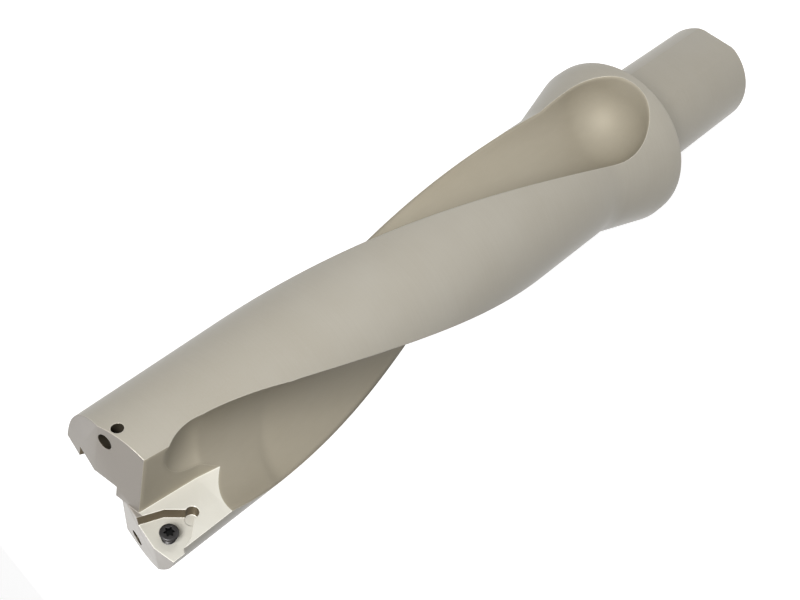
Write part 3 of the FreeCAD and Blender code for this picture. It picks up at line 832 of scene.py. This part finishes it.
def thread_tree():
    tree, given = new_rule("screw_thread", ("Crest", "Root", "Pitch", "Top", "Bottom", "Point"))
    grid, column, row = counted_grid(tree, THREAD_AROUND, THREAD_ROWS)
    turn = maths(tree, "MULTIPLY", column, 2 * math.pi / THREAD_AROUND)
    share = maths(tree, "DIVIDE", maths(tree, "SUBTRACT", row, 1.0), THREAD_ROWS - 2.0, clamp=True)
    height = between(tree, share, given["Bottom"], given["Top"])

    climb = maths(tree, "SUBTRACT",
                  maths(tree, "DIVIDE", height, given["Pitch"]), maths(tree, "DIVIDE", turn, 2 * math.pi))
    ridge = maths(tree, "MULTIPLY", maths(tree, "PINGPONG", climb, 0.5), 2.0)
    ridge = maths(tree, "MULTIPLY_ADD", maths(tree, "SUBTRACT", ridge, ROOT_FLAT), RIDGE_STEEPNESS, 0.0,
                  clamp=True)
    radius = between(tree, ridge, given["Root"], given["Crest"])
    point = maths(tree, "ADD", maths(tree, "SUBTRACT", given["Crest"], given["Point"]),
                  maths(tree, "SUBTRACT", height, given["Bottom"]))
    radius = maths(tree, "MINIMUM", radius, point)
    inner_row = maths(tree, "MULTIPLY", maths(tree, "GREATER_THAN", row, 0.5),
                      maths(tree, "LESS_THAN", row, THREAD_ROWS - 0.5))
    radius = maths(tree, "MULTIPLY", radius, inner_row)

    x = maths(tree, "MULTIPLY", radius, maths(tree, "COSINE", turn))
    y = maths(tree, "MULTIPLY", radius, maths(tree, "SINE", turn))
    spot = add(tree, "ShaderNodeCombineXYZ", x, y, height).outputs[0]
    end_rule(tree, grid, spot, weld=0.000001, steel=given["Steel"])
    return tree


thread_rule = thread_tree()
print("thread tree has", len(thread_rule.nodes), "nodes")

# %% [markdown]
# The head is turned like the blank, with a rounded rim and a cone that seats in the insert. The socket is a
# round core with six smaller rounds along its edge. Its outline is worked out as one curve, the core or a lobe,
# whichever reaches further, because one outline needs one cut, and seven circles need seven.

# %% Draw the head and its socket
HEAD_OUTLINE = [
    (0, -2.1), (1.9, -2.1), (2.0, -1.985), (2.72, -0.74), (2.8, -0.6), (2.8, -0.38), (2.74, -0.2),
    (2.58, -0.06), (2.36, 0), (0, 0)]
THREAD_SIZES = {"Crest": 1.99, "Root": 1.62, "Pitch": 0.7, "Top": -1.7, "Bottom": -10.5, "Point": 0.5}
SOCKET_BOTTOM = -1.6
SOCKET_ABOVE = 0.5
SOCKET_CORE = 1.2
LOBE_MIDDLE = 1.3
LOBE_RADIUS = 0.36


def six_lobes(steps=120):
    """The socket's outline: a round core with six round lobes."""
    outline = []
    for i in range(steps):
        angle = 2 * math.pi * i / steps
        from_lobe = math.atan2(math.sin(6 * angle), math.cos(6 * angle)) / 6
        aside = LOBE_MIDDLE * math.sin(from_lobe)
        radius = SOCKET_CORE
        if abs(aside) < LOBE_RADIUS:
            lobe = LOBE_MIDDLE * math.cos(from_lobe) + math.sqrt(LOBE_RADIUS ** 2 - aside ** 2)
            radius = max(radius, lobe)
        outline.append((radius * math.cos(angle), radius * math.sin(angle)))
    return outline


print("socket outline has", len(six_lobes()), "points")

# %% [markdown]
# A screw is built upright at the origin, where its sizes are easy to read. The thread joins the head from
# below, the socket is cut, and then the whole screw is laid in its hole. It stands 3.3 mm proud of the seat's
# floor, as high as it does when an insert lies under its head.

# %% Make and place both screws
def clamp_screw(name, node, seat):
    head = turned(name, HEAD_OUTLINE, screw_black, longest=0.25, steps=96)
    sizes = {key: size * MM for key, size in THREAD_SIZES.items()}
    thread = with_tree(f"{name}_thread", thread_rule, {**sizes, "Steel": screw_black})
    cut_with(head, outward(thread), "UNION")
    levels = [[(x, y, z) for x, y in six_lobes()] for z in (SOCKET_BOTTOM, SOCKET_ABOVE)]
    cut_with(head, prism(f"{name}_socket", levels, socket_painted_shade))
    level = seat["side"] * (SEAT_DEPTH - SCREW_STAND)
    place = Matrix.Translation(Vector((seat["across"], level, seat["height"])) * MM)
    place = place @ Matrix.Rotation(math.radians(seat["turn"]), 4, "Y")
    place = place @ Matrix.Rotation(math.radians(90 * seat["side"]), 4, "X")
    placed(head, place)
    shade_round(head)
    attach(head, "root")
    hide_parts(node)
    low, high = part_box(node)
    print(name, len(head.data.polygons), "faces; CAD node from", [round(v / MM, 1) for v in low],
          "to", [round(v / MM, 1) for v in high])


for name, seat in SEATS.items():
    clamp_screw(f"{name}_clamp_screw", f"{name}_insert_screw", seat)

# %% [markdown]
# ## The floor
#
# A pale floor carries the drill. In the photograph the background is white, so the floor adds a little light of
# its own, but only to what the camera sees and to reflections. Its own colour is a middle grey, which keeps the
# drill's soft shadow on it and throws little light back.

# %% Lay the floor
FLOOR_REACH = 3000
FLOOR_LEVEL = -0.02
FLOOR_GREY = 0.50
FLOOR_GLOW = 0.80


def seen_rays(tree):
    """1 for what the camera sees, straight or in a reflection, and 0 for light on its way to a surface."""
    ray = add(tree, "ShaderNodeLightPath").outputs
    mirrored = maths(tree, "MAXIMUM", ray["Is Glossy Ray"], ray["Is Transmission Ray"])
    return maths(tree, "MAXIMUM", ray["Is Camera Ray"], mirrored)


corners = ((-1, -1), (1, -1), (1, 1), (-1, 1))
floor = make_object("floor", [(x * FLOOR_REACH, y * FLOOR_REACH, FLOOR_LEVEL) for x, y in corners],
                    [(0, 1, 2, 3)])
floor_material = new_material("pale_floor")
tree = floor_material.node_tree
matt = add(tree, "ShaderNodeBsdfPrincipled")
matt.inputs["Base Color"].default_value = (FLOOR_GREY, FLOOR_GREY, FLOOR_GREY, 1)
matt.inputs["Roughness"].default_value = 0.8
glow = add(tree, "ShaderNodeEmission", (1, 1, 1, 1), maths(tree, "MULTIPLY", seen_rays(tree), FLOOR_GLOW))
both = add(tree, "ShaderNodeAddShader", matt.outputs[0], glow.outputs[0])
add(tree, "ShaderNodeOutputMaterial", both.outputs[0])
floor.data.materials.append(floor_material)
print("floor:", floor.name)

# %% [markdown]
# ## The light
#
# The key lamp stands above the camera's side of the drill. It is large, because a large lamp gives the long
# soft gradients along the body that a satin plating shows. A weak one fills in from the left, and a third one
# stands behind, so that the far side isn't dark in other views. The world is white to the camera and in
# reflections, which satin metal needs in order to look like metal, and a dim, even light for everything else.

# %% Light it softly
WORLD_LIGHT = 0.10
WORLD_SEEN = 0.88


def soft_lamp(name, place, target, size, power):
    data = bpy.data.lights.new(name, "AREA")
    data.shape = "SQUARE"
    data.size = size
    data.energy = power
    lamp = bpy.data.objects.new(name, data)
    lamp.location = place
    lamp.rotation_euler = (Vector(target) - Vector(place)).to_track_quat("-Z", "Y").to_euler()
    bpy.context.scene.collection.objects.link(lamp)


soft_lamp("key", place=(-0.17, -0.63, 0.80), target=(0, 0, 0.26), size=0.40, power=12.2)
soft_lamp("fill", place=(-1.1, 0.3, 0.9), target=(0, 0, 0.18), size=1.0, power=0.5)
soft_lamp("back", place=(0.30, 0.95, 0.40), target=(0, 0, 0.15), size=0.8, power=3.2)
world = bpy.data.worlds.new("studio")
bpy.context.scene.world = world
world.use_nodes = True
tree = world.node_tree
tree.nodes.clear()
strength = maths(tree, "MULTIPLY_ADD", seen_rays(tree), WORLD_SEEN, WORLD_LIGHT)
sky = add(tree, "ShaderNodeBackground", (1, 1, 1, 1), strength)
add(tree, "ShaderNodeOutputWorld", sky.outputs[0])
bpy.context.scene.view_settings.view_transform = "Standard"
